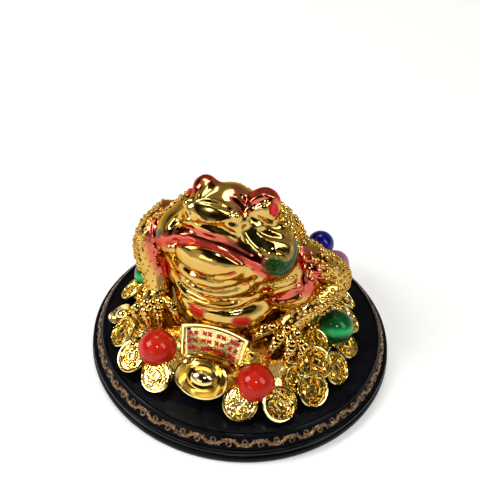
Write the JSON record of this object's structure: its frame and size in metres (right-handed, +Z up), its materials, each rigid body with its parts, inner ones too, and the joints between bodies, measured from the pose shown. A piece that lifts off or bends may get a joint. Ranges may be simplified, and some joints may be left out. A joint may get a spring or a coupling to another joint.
{
  "type": "money toad figure",
  "caption": "Fat gold-plated toad cast on a heap of cash coins, with glass balls laid round it, on a round lacquered stand.",
  "frame": {"origin": "middle of the stand's underside, on the surface that it stands on", "axes": "+Z up, the toad looks along -Y, its left-hand side as seen from the front is -X"},
  "size_m": [0.21, 0.21, 0.1374],
  "materials": {
    "black_lacquer": "black lacquer over moulded resin, scroll band rubbed with old gold",
    "gold_plate": "mirror-bright gold plating on cast resin, red and green lacquer details",
    "red_glass": "polished opaque red glass",
    "green_glass": "polished green cat's-eye glass",
    "purple_glass": "polished pale purple cat's-eye glass",
    "blue_glass": "polished deep blue glass"
  },
  "bodies": {
    "root": {"stand": "black_lacquer", "toad_on_coins": "gold_plate", "ball_red_left": "red_glass", "ball_red_right": "red_glass", "ball_green_right": "green_glass", "ball_green_left": "green_glass", "ball_purple": "purple_glass", "ball_blue": "blue_glass"}
  },
  "joints": []
}
